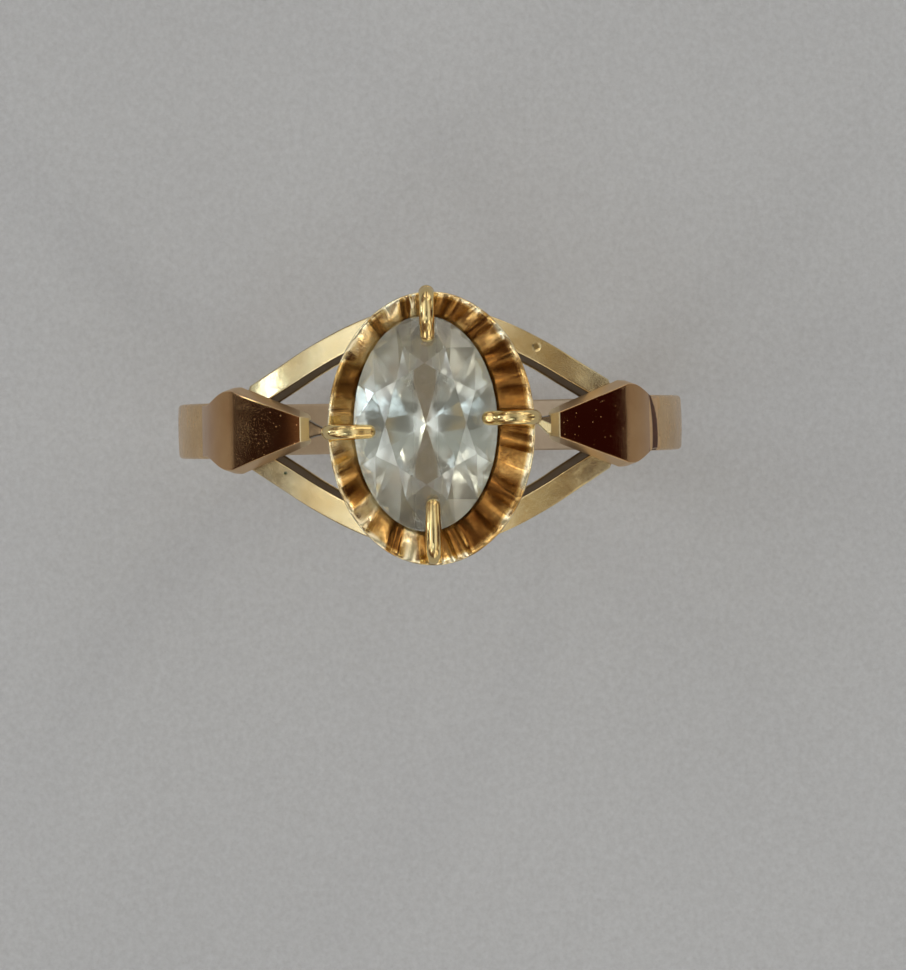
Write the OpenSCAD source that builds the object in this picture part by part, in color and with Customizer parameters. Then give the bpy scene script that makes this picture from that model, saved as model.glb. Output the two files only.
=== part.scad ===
// Dress ring with a claw-set oval stone in a fluted collar, a split shank and wedge shoulders.
// Frame: origin at the centre of the finger hole, +Y along the finger, +Z up to the stone.

/* [Shank] */
// Inside diameter of the ring, its finger size
bore_d = 17.2; // [16.6:0.1:18]
// Radial thickness of the shank
shank_t = 1.0; // [0.9:0.05:1.2]
// Width of the shank along the finger
shank_w = 2.05; // [1.8:0.05:2.3]
// Radius on the shank's long edges
shank_edge = 0.18; // [0.1:0.02:0.3]

/* [Shoulders] */
// Thickness of the wedge plates above the shank
wedge_t = 0.55; // [0.4:0.05:0.7]
// Width of a split arm
arm_w = 0.89; // [0.8:0.01:0.95]
// Depth of a split arm
arm_h = 0.98; // [0.85:0.01:1]
// Outward lean of the arms at the head, degrees
arm_lean = 12; // [8:1:20]
// How far the arms and the head stand clear of the finger
relief = 0.4; // [0.2:0.01:0.5]

/* [Stone] */
// Stone length, along the finger
stone_l = 7.5; // [7.3:0.05:7.6]
// Stone width, across the finger
stone_b = 5.0; // [4.8:0.05:5.05]
// Height of the crown above the girdle
crown_h = 0.75; // [0.6:0.05:0.9]
// Depth of the pavilion below the girdle
pav_h = 2.15; // [1.9:0.05:2.3]
// Table size as a share of the stone's width
table_share = 0.56; // [0.5:0.01:0.62]
// Setting offset of the stone across the head
stone_dx = -0.15; // [-0.2:0.01:0.2]
// Setting offset of the stone along the head
stone_dy = 0.12; // [-0.2:0.01:0.2]

/* [Head] */
// Height of the girdle above the centre of the finger hole
girdle_z = 11.2; // [11.1:0.05:11.4]
// Half width of the fluted collar, across the finger
collar_a = 3.63; // [3.5:0.01:3.7]
// Half length of the fluted collar, along the finger
collar_b = 4.78; // [4.6:0.01:4.9]
// Rise of the collar from the girdle to its crest
collar_rise = 0.78; // [0.6:0.02:0.9]
// Sheet thickness of the collar
collar_t = 0.3; // [0.24:0.02:0.36]
// Depth of the deepest flute at the collar's edge
flute_d = 0.2; // [0.1:0.01:0.24]
// Claw wire diameter
claw_d = 0.56; // [0.5:0.02:0.62]

/* [Hidden] */
$fn = 96;

bore_r = bore_d / 2;
out_r = bore_r + shank_t;          // outside of the shank
wedge_r = out_r + wedge_t;         // top of the wedge plates
gap_a = 43;                        // half angle of the shank's opening at the head
girdle_t = 0.15;
sa = stone_b / 2;
sb = stone_l / 2;
stone_c = [stone_dx, stone_dy];
collar_c = [0.05, -0.05];
rail_a = 3.05;                     // gallery rail, outside half axes
rail_b = 4.15;
rail_wall = 0.55;
rail_top = 9.55;
seat_a = sa - 0.12;                // the collar's inner edge, which carries the stone
seat_b = sb - 0.15;
seat_z = girdle_z - girdle_t / 2 - 0.1;

rose = [0.80, 0.56, 0.43];
gold = [0.83, 0.66, 0.30];
white_stone = [0.86, 0.91, 0.92, 0.55];

// Ridges between the flutes, in degrees round the collar, cut by hand and so uneven
RIDGES = [8, 18, 29, 40, 50, 58, 66, 75, 84, 96, 101, 107, 121, 127, 147, 165, 174,
          186, 196, 207, 218, 229, 241, 251, 262, 274, 284, 293, 309, 322, 333, 348, 357];
FLUTE_N = len(RIDGES);
FLUTE_STEPS = 4;

// Centreline of the right rear arm in plan, from the shank to the head
ARM = [[6.9, 0.66], [6.2, 1.07], [5.5, 1.50], [4.8, 1.93], [4.1, 2.37], [3.4, 2.76],
       [2.7, 3.11], [2.0, 3.40], [1.4, 3.58], [0.8, 3.68]];

// Claws: [direction in degrees, sideways offset, reach of the tip from the ring's centre, knee set in from the rim]
CLAW_E = [0, 0.27, 1.85, 0.06];
CLAW_W = [180, 0.12, 1.93, 0.06];
CLAW_N = [90, 0.04, 2.98, 0.06];
CLAW_S = [270, 0.05, 2.52, 0.28];

function unit(v) = v / norm(v);
function ell(a, b, t, c = [0, 0]) = [c[0] + a * cos(t), c[1] + b * sin(t)];

// Everything on the inner side of the plane n.p = d, as a large block
module half_space(n, d, big = 40) {
    u = unit(n);
    rotate([0, acos(u[2]), atan2(u[1], u[0])])
        translate([-big / 2, -big / 2, d / norm(n) - big])
            cube(big);
}

// A closed tube of rings, each ring a closed loop of the same number of points
module skin(rings, closed = false) {
    n = len(rings);
    m = len(rings[0]);
    pts = [for (r = rings) each r];
    walls = [for (i = [0:(closed ? n : n - 1) - 1], j = [0:m - 1], k = [0, 1])
        let (a = i * m + j, b = i * m + (j + 1) % m,
             c = ((i + 1) % n) * m + (j + 1) % m, d = ((i + 1) % n) * m + j)
        k == 0 ? [a, c, b] : [a, d, c]];
    caps = closed ? [] : [[for (j = [0:m - 1]) j], [for (j = [m - 1:-1:0]) (n - 1) * m + j]];
    polyhedron(points = pts, faces = concat(walls, caps), convexity = 6);
}

// An oval tube from a profile of [half width, half length, height, centre]
module oval_tube(profile, steps = 72) {
    skin([for (i = [0:steps - 1]) let (t = i * 360 / steps)
        [for (p = profile) [each ell(p[0], p[1], t, p[3]), p[2]]]], closed = true);
}

module along_finger(r, l) { rotate([90, 0, 0]) cylinder(r = r, h = l, center = true); }

// ---- shank ----
module shank_profile() {
    e = shank_edge;
    f = e / 2;
    w = shank_w / 2;
    translate([bore_r, -w + f]) square([shank_t / 2, shank_w - 2 * f]);
    translate([bore_r + f, -w + e]) square([shank_t - f, shank_w - 2 * e]);
    translate([bore_r + f, -w]) square([shank_t - e - f, shank_w]);
    for (s = [-1, 1]) {
        translate([out_r - e, s * (w - e)]) circle(e);
        translate([bore_r + f, s * (w - f)]) circle(f);
    }
}

module shank_body() {
    rotate([90, 0, 0])
        rotate([0, 0, 90 + gap_a])
            rotate_extrude(angle = 360 - 2 * gap_a) shank_profile();
}

module shank() { color(rose) shank_body(); }

// ---- wedge shoulders ----
// Cross sections of a wedge from its tip to its rolled end:
// [x of the under edge, x of the top edge, drop of the top, half width under, half width on top]
WEDGE = [[4.24, 4.30, 0.24, 0.46, 0.40], [4.33, 4.60, 0.00, 0.56, 0.45],
         [4.92, 5.20, 0.00, 0.81, 0.67], [5.49, 5.80, 0.00, 1.04, 0.90],
         [6.05, 6.40, 0.00, 1.27, 1.13], [6.62, 7.00, 0.00, 1.50, 1.36],
         [6.81, 7.20, 0.00, 1.57, 1.43], [7.05, 7.45, 0.02, 1.56, 1.41],
         [7.27, 7.65, 0.06, 1.47, 1.32], [7.48, 7.82, 0.12, 1.34, 1.20],
         [7.68, 7.97, 0.20, 1.20, 1.08], [7.86, 8.09, 0.28, 1.07, 0.98],
         [8.04, 8.19, 0.36, 0.99, 0.93], [8.22, 8.30, 0.45, 0.96, 0.93],
         [8.36, 8.38, 0.53, 0.95, 0.94]];

module wedge() {
    e = 0.06;
    difference() {
        skin([for (q = WEDGE) let (rt = wedge_r - q[2] * wedge_t / 0.55, xt = q[1], xb = q[0],
                f = 0.5 * min(1, (rt - out_r) / wedge_t),
                zb = sqrt(pow(out_r - 0.1, 2) - xb * xb), zt = sqrt(rt * rt - xt * xt),
                ze = zt - e * f * zt / rt, xe = xt - e * f * xt / rt)
            [[xb, -q[3], zb], [xe, -q[4] - e * 0.4, ze], [xt, -q[4] + e, zt],
             [xt, q[4] - e, zt], [xe, q[4] + e * 0.4, ze], [xb, q[3], zb]]]);
        along_finger(out_r, 9);
    }
}

module left_shoulder() { color(rose) mirror([1, 0, 0]) wedge(); }
module right_shoulder() { color(rose) wedge(); }

// ---- split arms ----
function arm_at(i, nip) = [ARM[i][0], ARM[i][1] - nip * max(0, ARM[i][0] - 1.5) / 5,
                           sqrt(pow(out_r - arm_h / 2 - 0.01, 2) - pow(ARM[i][0], 2))];
function arm_dir(i, nip) = unit(arm_at(min(i + 1, len(ARM) - 1), nip) - arm_at(max(i - 1, 0), nip));
function arm_ring(i, nip) =
    let (p = arm_at(i, nip), t = arm_dir(i, nip), r = unit([p[0], 0, p[2]]),
         u0 = unit(r - (r * t) * t), s0 = cross(u0, t),
         lean = 4 + (arm_lean - 4) * i / (len(ARM) - 1),
         u = cos(lean) * u0 + sin(lean) * s0 * sign(s0[1]),
         s = cross(u, t), w = arm_w / 2, h = arm_h / 2, e = 0.09)
    [for (q = [[w, -h + e], [w, h - e], [w - e, h], [-w + e, h], [-w, h - e], [-w, -h + e], [-w + e, -h], [w - e, -h]])
        p + q[0] * s + q[1] * u];

// nip draws an arm in toward the middle of the shank
module arm(nip = 0) {
    difference() {
        skin([for (i = [0:len(ARM) - 1]) arm_ring(i, nip)]);
        along_finger(bore_r + relief, 12);
        shank_block();
        translate([0, 0, 7]) oval_block(rail_a, rail_b, 4);
        wedge_clear();
    }
}

// The solid region that the shank fills, without its rounded edges
module shank_block() {
    rotate([90, 0, 0])
        rotate([0, 0, 90 + gap_a])
            rotate_extrude(angle = 360 - 2 * gap_a)
                translate([bore_r - 0.3, -shank_w / 2]) square([shank_t + 0.6, shank_w]);
}

// The space above the arms that the wedge plate fills
module wedge_clear() {
    difference() {
        along_finger(out_r + 2, 6);
        along_finger(out_r, 7);
    }
}

module oval_block(a, b, h, steps = 72) {
    linear_extrude(h) polygon([for (i = [0:steps - 1]) ell(a, b, i * 360 / steps)]);
}

module left_rear_arm() { color(gold) mirror([1, 0, 0]) arm(); }
module left_front_arm() { color(gold) mirror([1, 0, 0]) mirror([0, 1, 0]) arm(0.2); }
module right_rear_arm() { color(gold) arm(); }
module right_front_arm() { color(gold) mirror([0, 1, 0]) arm(); }

// ---- claws ----
// Height of the crown's main facet over the girdle's middle, at a distance d along a claw's line
function crown_z(c, d) =
    let (ns = abs(sin(c[0])) > 0.5,
         at = d - stone_c * [round(cos(c[0])), round(sin(c[0]))])
    girdle_t / 2 + crown_h * (1 - at / (ns ? sb : sa)) / (1 - table_share);

// A claw's line in its own plane: distance from the ring's centre, height
function claw_line(c) =
    let (ns = abs(sin(c[0])) > 0.5,
         foot = ns ? rail_b + 0.17 : rail_a + 0.2,
         knee = (ns ? collar_b : collar_a) - c[3] + collar_c * [round(cos(c[0])), round(sin(c[0]))],
         tip = c[2] + 0.2,
         low = crown_z(c, tip) + 0.2,
         top = max(low + 0.16, collar_rise + 0.06),
         z = girdle_z)
    [[foot, z - 2.35], [knee, z + 0.1], [knee, z + 0.38], [knee - 0.13, z + 0.66],
     [knee - 0.42, z + top], [tip + (knee - tip) * 0.42, z + top + 0.02],
     [tip + (knee - tip) * 0.18, z + low + 0.1], [tip, z + low]];

// A round wire along a line of points in the XZ plane, with a rounded tip
module wire(l, r, tip = true) {
    n = len(l);
    steps = concat([for (i = [0:n - 1]) [l[i], unit(l[min(i + 1, n - 1)] - l[max(i - 1, 0)]), r, 0]],
                   tip ? [for (f = [35, 62, 82]) [l[n - 1], unit(l[n - 1] - l[n - 2]), r * cos(f), r * sin(f)]] : []);
    skin([for (q = steps) [for (k = [0:15]) let (a = k * 22.5, d = q[1])
        [q[0][0] + q[3] * d[0] + q[2] * cos(a) * d[1], q[2] * sin(a), q[0][1] + q[3] * d[1] - q[2] * cos(a) * d[0]]]]);
}

module claw_wire(c, extra = 0) {
    rotate([0, 0, c[0]]) translate([0, c[1], 0]) wire(claw_line(c), claw_d / 2 + extra);
}

// The part of the stone's crown under a claw, which the claw's seat is cut to
module crown_under(c) {
    s = table_share;
    az = c[0];
    n = [cos(az) / sa, sin(az) / sb, (1 - s) / crown_h];
    translate([stone_c[0], stone_c[1], girdle_z + girdle_t / 2])
        intersection() {
            translate([0, 0, -3]) oval_block(sa + 0.02, sb + 0.02, 5);
            half_space(n, 1);
        }
}

module claw(c) {
    difference() {
        claw_wire(c);
        crown_under(c);
    }
}

module left_claw() { color(gold) claw(CLAW_W); }
module right_claw() { color(gold) claw(CLAW_E); }
module rear_claw() { color(gold) claw(CLAW_N); }
module front_claw() { color(gold) claw(CLAW_S); }

// ---- shoulder pins, tapered webs from the tips of the wedges to the side claws ----
module pin(c) {
    x0 = WEDGE[0][0];
    dx = WEDGE[0][1] - x0;
    z0 = sqrt(pow(out_r - 0.1, 2) - x0 * x0);
    rt = wedge_r - WEDGE[0][2] * wedge_t / 0.55;
    z1 = sqrt(rt * rt - (x0 + dx) * (x0 + dx));
    za = z0 + 0.13;
    zb = z1 - 0.05;
    xa = x0 + dx * (za - z0) / (z1 - z0);
    xb = x0 + dx * (zb - z0) / (z1 - z0);
    x1 = claw_line(c)[0][0] + 0.05;
    difference() {
        skin([for (q = [[xa, xb, 0, 0.38, za, zb], [x0 - 0.3, x0 - 0.3, c[1] * 0.3, 0.27, za + 0.08, zb + 0.14],
                        [x0 - 0.6, x0 - 0.6, c[1] * 0.7, 0.2, za + 0.16, zb + 0.24], [x1, x1, c[1], 0.17, za + 0.22, zb + 0.27]])
            [[q[0], q[2] - q[3], q[4]], [q[1], q[2] - q[3], q[5]], [q[1], q[2] + q[3], q[5]], [q[0], q[2] + q[3], q[4]]]]);
        rotate([0, 0, -c[0]]) claw_wire(c);
    }
}

module left_shoulder_pin() { color(gold) rotate([0, 0, 180]) pin(CLAW_W); }
module right_shoulder_pin() { color(gold) pin(CLAW_E); }

// ---- head ----
module gallery_rail() {
    color(gold) difference() {
        oval_tube([[rail_a, rail_b, 7.6, [0, 0]], [rail_a, rail_b, rail_top - 0.1, [0, 0]],
                   [rail_a - 0.1, rail_b - 0.1, rail_top, [0, 0]],
                   [rail_a - rail_wall + 0.05, rail_b - rail_wall + 0.05, rail_top, [0, 0]],
                   [rail_a - rail_wall, rail_b - rail_wall, rail_top - 0.05, [0, 0]],
                   [rail_a - rail_wall, rail_b - rail_wall, 7.6, [0, 0]]]);
        along_finger(bore_r + relief, 12);
        for (c = [CLAW_E, CLAW_W, CLAW_N, CLAW_S]) claw_foot(c);
    }
}

// The straight lower part of a claw, which lies in a groove of the rail
module claw_foot(c) {
    rotate([0, 0, c[0]]) translate([0, c[1], 0]) wire([for (i = [0:1]) claw_line(c)[i]], claw_d / 2, false);
}

module collet() {
    w = 0.34;
    a1 = rail_a - rail_wall;
    b1 = rail_b - rail_wall;
    z1 = rail_top - 0.55;
    z2 = seat_z - 0.34;
    color(gold) oval_tube([
        [a1, b1, z1, [0, 0]], [a1, b1, rail_top, [0, 0]],
        [seat_a + 0.2, seat_b + 0.2, z2, stone_c * 0.9],
        [seat_a - 0.14, seat_b - 0.14, z2, stone_c * 0.9],
        [a1 - w, b1 - w, rail_top, [0, 0]], [a1 - w, b1 - w, z1, [0, 0]]]);
}

// One flute's place, as [start, end] in degrees
function flute(i) = [RIDGES[i], RIDGES[(i + 1) % FLUTE_N] + (i == FLUTE_N - 1 ? 360 : 0)];

// Every station round the collar, as [angle, dip]
STATIONS = [for (i = [0:FLUTE_N - 1], k = [0:FLUTE_STEPS - 1])
    let (f = flute(i), u = k / FLUTE_STEPS, w = f[1] - f[0])
    [f[0] + u * w, (1 - pow(abs(2 * u - 1), 1.5)) * min(flute_d, w * 0.0165)]];

module fluted_collar() {
    e = collar_t;
    zc = seat_z + collar_rise;
    color(gold) difference() {
        skin([for (q = STATIONS) let (t = q[0], d = q[1], co = collar_c, ci = stone_c, mid = (co + ci) / 2)
            [[each ell(seat_a, seat_b, t, ci), seat_z - 0.34],
             [each ell(seat_a, seat_b, t, ci), seat_z - d * 0.15],
             [each ell((seat_a + collar_a - 0.17) / 2, (seat_b + collar_b - 0.17) / 2, t, mid), seat_z + collar_rise * 0.45 - d * 0.6],
             [each ell(collar_a - 0.17 + d * 0.1, collar_b - 0.17 + d * 0.1, t, co), zc - d],
             [each ell(collar_a - d * 0.25, collar_b - d * 0.25, t, co), zc - 0.25 - d * 0.75],
             [each ell((seat_a + collar_a) / 2 + 0.1, (seat_b + collar_b) / 2 + 0.1, t, mid), seat_z + collar_rise * 0.45 - 0.3 - d * 0.4],
             [each ell(seat_a + 0.19, seat_b + 0.19, t, ci), seat_z - 0.34]]
        ], closed = true);
        for (c = [CLAW_E, CLAW_W, CLAW_N, CLAW_S]) claw_notch(c);
    }
}

// The notch that a claw stands in, at the collar's edge
module claw_notch(c) { claw_wire(c, 0.01); }

// ---- stone: an oval brilliant, the round brilliant's facets stretched along the finger ----
// Facet planes of the round brilliant of girdle radius 1, as [normal, distance]
function plane3(a, b, c, up) = let (n = cross(b - a, c - a), m = n[2] * up > 0 ? n : -n) [m, m * a];
function pol(r, az, z) = [r * cos(az), r * sin(az), z];

module stone_body() {
    hc = crown_h;
    hp = pav_h;
    g = girdle_t / 2;
    rt = table_share;
    rs = rt * cos(22.5) + 0.5 * (1 - rt * cos(22.5));
    zs = hc * (1 - (rs * cos(22.5) - rt) / (1 - rt));
    rl = 0.24;
    zl = hp * (rl * cos(22.5) - 1);
    star = (hc - zs) / (rs - rt * cos(22.5));
    upper = concat(
        [for (k = [0:7]) [pol(hc / (1 - rt), 45 * k, 1), hc / (1 - rt)]],
        [for (k = [0:7]) [pol(star, 45 * k + 22.5, 1), star * rt * cos(22.5) + hc]],
        [for (k = [0:7], s = [-1, 1])
            plane3(pol(1, 45 * k + 22.5, 0), pol(1, 45 * k + 22.5 + s * 22.5, 0), pol(rs, 45 * k + 22.5, zs), 1)]);
    lower = concat(
        [for (k = [0:7]) [pol(hp, 45 * k, -1), hp]],
        [for (k = [0:7], s = [-1, 1])
            plane3(pol(1, 45 * k + 22.5, 0), pol(1, 45 * k + 22.5 + s * 22.5, 0), pol(rl, 45 * k + 22.5, zl), -1)]);
    translate([stone_c[0], stone_c[1], girdle_z])
        intersection() {
            translate([0, 0, -4]) oval_block(sa, sb, 4 + g + hc, 64);
            for_planes(upper, g);
            for_planes(lower, -g);
        }
}

// The region inside a set of facet planes, whose own z = 0 lies at height z0
module for_planes(planes, z0) {
    translate([0, 0, z0]) intersection_for (p = planes)
        half_space([p[0][0] / sa, p[0][1] / sb, p[0][2]], p[1], 24);
}

module stone() { color(white_stone) stone_body(); }

shank();
left_shoulder();
right_shoulder();
left_rear_arm();
left_front_arm();
right_rear_arm();
right_front_arm();
left_shoulder_pin();
right_shoulder_pin();
gallery_rail();
collet();
fluted_collar();
left_claw();
right_claw();
rear_claw();
front_claw();
stone();
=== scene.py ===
import bpy
import bmesh
import math
from math import sin, cos, pi, sqrt, radians, degrees
from mathutils import Vector, Matrix, noise


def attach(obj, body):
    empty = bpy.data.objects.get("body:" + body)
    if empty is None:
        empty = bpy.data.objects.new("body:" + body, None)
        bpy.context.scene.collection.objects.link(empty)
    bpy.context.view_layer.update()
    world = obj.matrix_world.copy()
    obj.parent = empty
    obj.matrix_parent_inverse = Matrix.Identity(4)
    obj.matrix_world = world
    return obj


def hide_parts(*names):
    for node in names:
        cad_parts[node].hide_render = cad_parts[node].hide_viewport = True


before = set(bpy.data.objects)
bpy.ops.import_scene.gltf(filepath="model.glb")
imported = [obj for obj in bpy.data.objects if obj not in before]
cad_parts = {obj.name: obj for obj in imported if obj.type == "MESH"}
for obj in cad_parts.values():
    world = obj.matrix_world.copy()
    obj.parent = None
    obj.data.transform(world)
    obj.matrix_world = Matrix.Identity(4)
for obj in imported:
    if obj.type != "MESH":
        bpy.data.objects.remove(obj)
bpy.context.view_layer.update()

scene = bpy.context.scene
MM = 0.001

# ------------------------------------------------------------------ sizes, mm
BORE_R, OUT_R, WEDGE_R = 8.6, 9.6, 10.15
SHANK_W, GAP_A, RELIEF = 2.05, 43.0, 0.40
SA, SB = 2.5, 3.75                        # stone half axes
CROWN, PAV, GIRDLE_T, TABLE = 0.75, 2.15, 0.15, 0.56
GZ = 11.2                                 # middle of the girdle
STONE_C, COLLAR_C = (-0.15, 0.12), (0.05, -0.05)
COLLAR_A, COLLAR_B, RISE, FLUTE_D = 3.63, 4.78, 0.78, 0.2
SEAT_A, SEAT_B, SEAT_Z = SA - 0.12, SB - 0.15, GZ - GIRDLE_T / 2 - 0.1
RAIL_A, RAIL_B, RAIL_WALL, RAIL_TOP = 3.05, 4.15, 0.55, 9.55
CLAW_R = 0.28

RIDGES = [8, 18, 29, 40, 50, 58, 66, 75, 84, 96, 101, 107, 121, 127, 147, 165, 174,
          186, 196, 207, 218, 229, 241, 251, 262, 274, 284, 293, 309, 322, 333, 348, 357]
ARM = [(6.9, 0.66), (6.2, 1.07), (5.5, 1.50), (4.8, 1.93), (4.1, 2.37), (3.4, 2.76),
       (2.7, 3.11), (2.0, 3.40), (1.4, 3.58), (0.8, 3.68)]
# x under, x top, drop, half width under, half width on top
WEDGE = [(4.24, 4.30, 0.24, 0.46, 0.40), (4.33, 4.60, 0.00, 0.56, 0.45),
         (4.92, 5.20, 0.00, 0.81, 0.67), (5.49, 5.80, 0.00, 1.04, 0.90),
         (6.05, 6.40, 0.00, 1.27, 1.13), (6.62, 7.00, 0.00, 1.50, 1.36),
         (6.81, 7.20, 0.00, 1.57, 1.43), (7.05, 7.45, 0.02, 1.56, 1.41),
         (7.27, 7.65, 0.06, 1.47, 1.32), (7.48, 7.82, 0.12, 1.34, 1.20),
         (7.68, 7.97, 0.20, 1.20, 1.08), (7.86, 8.09, 0.28, 1.07, 0.98),
         (8.04, 8.19, 0.36, 0.99, 0.93), (8.22, 8.30, 0.45, 0.96, 0.93),
         (8.36, 8.38, 0.53, 0.95, 0.94)]
# direction, sideways offset, reach of the tip, knee set in from the rim
CLAWS = {"right_claw": (0, 0.27, 1.85, 0.06), "left_claw": (180, 0.12, 1.93, 0.06),
         "rear_claw": (90, 0.04, 2.98, 0.06), "front_claw": (270, 0.05, 2.52, 0.28)}


# ------------------------------------------------------------------ helpers
def clamp(v, a=0.0, b=1.0):
    return max(a, min(b, v))


def smooth(a, b, v):
    t = clamp((v - a) / (b - a))
    return t * t * (3 - 2 * t)


def pchip(xs, ys, x):
    """Monotone cubic through the points, so that straight runs stay straight."""
    n = len(xs)
    h = [xs[i + 1] - xs[i] for i in range(n - 1)]
    d = [(ys[i + 1] - ys[i]) / h[i] for i in range(n - 1)]
    m = [d[0]] + [0.0] * (n - 2) + [d[-1]]
    for i in range(1, n - 1):
        if d[i - 1] * d[i] > 0:
            w1, w2 = 2 * h[i] + h[i - 1], h[i] + 2 * h[i - 1]
            m[i] = (w1 + w2) / (w1 / d[i - 1] + w2 / d[i])
    i = 0
    while i < n - 2 and x > xs[i + 1]:
        i += 1
    t = clamp((x - xs[i]) / h[i])
    t2, t3 = t * t, t * t * t
    return ((2 * t3 - 3 * t2 + 1) * ys[i] + (t3 - 2 * t2 + t) * h[i] * m[i]
            + (-2 * t3 + 3 * t2) * ys[i + 1] + (t3 - t2) * h[i] * m[i + 1])


def spline(points, per):
    """Centripetal-like Catmull-Rom through the points, per steps in each span."""
    pts = [Vector(p) for p in points]
    pts = [pts[0] * 2 - pts[1]] + pts + [pts[-1] * 2 - pts[-2]]
    out = []
    for i in range(1, len(pts) - 2):
        a, b, c, d = pts[i - 1], pts[i], pts[i + 1], pts[i + 2]
        for k in range(per):
            t = k / per
            out.append(0.5 * ((2 * b) + (c - a) * t + (2 * a - 5 * b + 4 * c - d) * t * t
                              + (3 * b - a - 3 * c + d) * t ** 3))
    out.append(pts[-2])
    return out


def rounded(corners, radii, divs, seg=4, hold=0.035):
    """A polygon with filleted corners, with a row of points held close to each fillet so flats shade flat."""
    n = len(corners)
    C = [Vector(c) for c in corners]
    T = []
    for i in range(n):
        p, a, b = C[i], C[i - 1], C[(i + 1) % n]
        da, db = (a - p).normalized(), (b - p).normalized()
        ang = math.acos(clamp(da.dot(db), -1, 1))
        tl = min(radii[i] / math.tan(ang / 2), 0.4 * (a - p).length, 0.4 * (b - p).length)
        T.append((p + da * tl, p + db * tl, p))
    out = []
    for i in range(n):
        t1, t2, p = T[i]
        for k in range(seg + 1):
            s = k / seg
            out.append(t1 * (1 - s) ** 2 + p * (2 * s * (1 - s)) + t2 * s * s)
        nxt = T[(i + 1) % n][0]
        d = nxt - t2
        h = min(hold, d.length * 0.2)
        d.normalize()
        out.append(t2 + d * h)
        for k in range(1, divs[i]):
            out.append(t2.lerp(nxt, k / divs[i]))
        out.append(nxt - d * h)
    return out


def wobble(p, amp, size):
    """A small dent or swell of worked metal at a point, from -amp to 0."""
    q = Vector(p) / size
    return -amp * (0.5 + 0.5 * noise.noise(q)) - 0.4 * amp * (0.5 + 0.5 * noise.noise(q * 2.7 + Vector((3, 1, 7))))


def mesh_of(name, bm):
    me = bpy.data.meshes.new(name)
    bm.to_mesh(me)
    bm.free()
    ob = bpy.data.objects.new(name, me)
    scene.collection.objects.link(ob)
    return ob


def loft(name, rings, closed=False, sharp_rings=(), sharp_points=()):
    """Joins rings of points into a closed solid. UVs are in mm: along the ring, and along the path."""
    n, m = len(rings), len(rings[0])
    bm = bmesh.new()
    vs = [[bm.verts.new(Vector(p) * MM) for p in r] for r in rings]
    uvl = bm.loops.layers.uv.new("surface")
    mid = [sum((Vector(p) for p in r), Vector()) / m for r in rings]
    along = [0.0]
    for i in range(1, n + 1):
        along.append(along[-1] + (Vector(rings[i % n][0]) - Vector(rings[i - 1][0])).length * 0.5
                     + (mid[i % n] - mid[i - 1]).length * 0.5)
    r0 = rings[n // 2]
    around = [0.0]
    for j in range(1, m + 1):
        around.append(around[-1] + (Vector(r0[j % m]) - Vector(r0[j - 1])).length)
    for i in range(n if closed else n - 1):
        for j in range(m):
            f = bm.faces.new((vs[i][j], vs[i][(j + 1) % m], vs[(i + 1) % n][(j + 1) % m], vs[(i + 1) % n][j]))
            f.smooth = True
            for l, (uu, vv) in zip(f.loops, ((j, i), (j + 1, i), (j + 1, i + 1), (j, i + 1))):
                l[uvl].uv = (around[uu], along[vv])
    if not closed:
        for r in (vs[0], vs[-1]):
            f = bm.faces.new(r)
            f.smooth = False
            for e in f.edges:
                e.smooth = False
            for k, l in enumerate(f.loops):
                l[uvl].uv = (l.vert.co.x / MM, l.vert.co.y / MM)
    for i in sharp_rings:
        for j in range(m):
            e = bm.edges.get((vs[i][j], vs[i][(j + 1) % m]))
            if e:
                e.smooth = False
    for j in sharp_points:
        for i in range(n if closed else n - 1):
            e = bm.edges.get((vs[i][j], vs[(i + 1) % n][j]))
            if e:
                e.smooth = False
    bmesh.ops.recalc_face_normals(bm, faces=bm.faces)
    return mesh_of(name, bm)


def place(ob, node, material):
    ob.data.materials.clear()
    ob.data.materials.append(material)
    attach(ob, "root")
    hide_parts(node)
    return ob


# ------------------------------------------------------------------ materials
class Tree:
    """Short calls for wiring a node tree."""

    def __init__(self, tree):
        self.t = tree

    def add(self, kind, inputs=None, **props):
        nd = self.t.nodes.new(kind)
        for k, v in props.items():
            setattr(nd, k, v)
        for k, v in (inputs or {}).items():
            sock = nd.inputs[k]
            if isinstance(v, bpy.types.NodeSocket):
                self.t.links.new(v, sock)
            else:
                sock.default_value = v
        return nd

    def math(self, op, a, b=None, c=None, clamped=False):
        ins = {0: a}
        if b is not None:
            ins[1] = b
        if c is not None:
            ins[2] = c
        return self.add("ShaderNodeMath", ins, operation=op, use_clamp=clamped).outputs[0]

    def ramp(self, fac, stops, interp="LINEAR"):
        nd = self.add("ShaderNodeValToRGB", {0: fac})
        nd.color_ramp.interpolation = interp
        els = nd.color_ramp.elements
        while len(els) < len(stops):
            els.new(0.5)
        for e, (pos, col) in zip(els, stops):
            e.position = pos
            e.color = (*col, 1) if len(col) == 3 else (col[0], col[0], col[0], 1)
        return nd.outputs[0]

    def mix(self, fac, a, b, blend="MIX"):
        nd = self.add("ShaderNodeMix", data_type="RGBA", blend_type=blend)
        for k, v in ((0, fac), (6, a), (7, b)):
            if isinstance(v, bpy.types.NodeSocket):
                self.t.links.new(v, nd.inputs[k])
            else:
                nd.inputs[k].default_value = v if k == 0 else (*v, 1)
        return nd.outputs[2]


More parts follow.
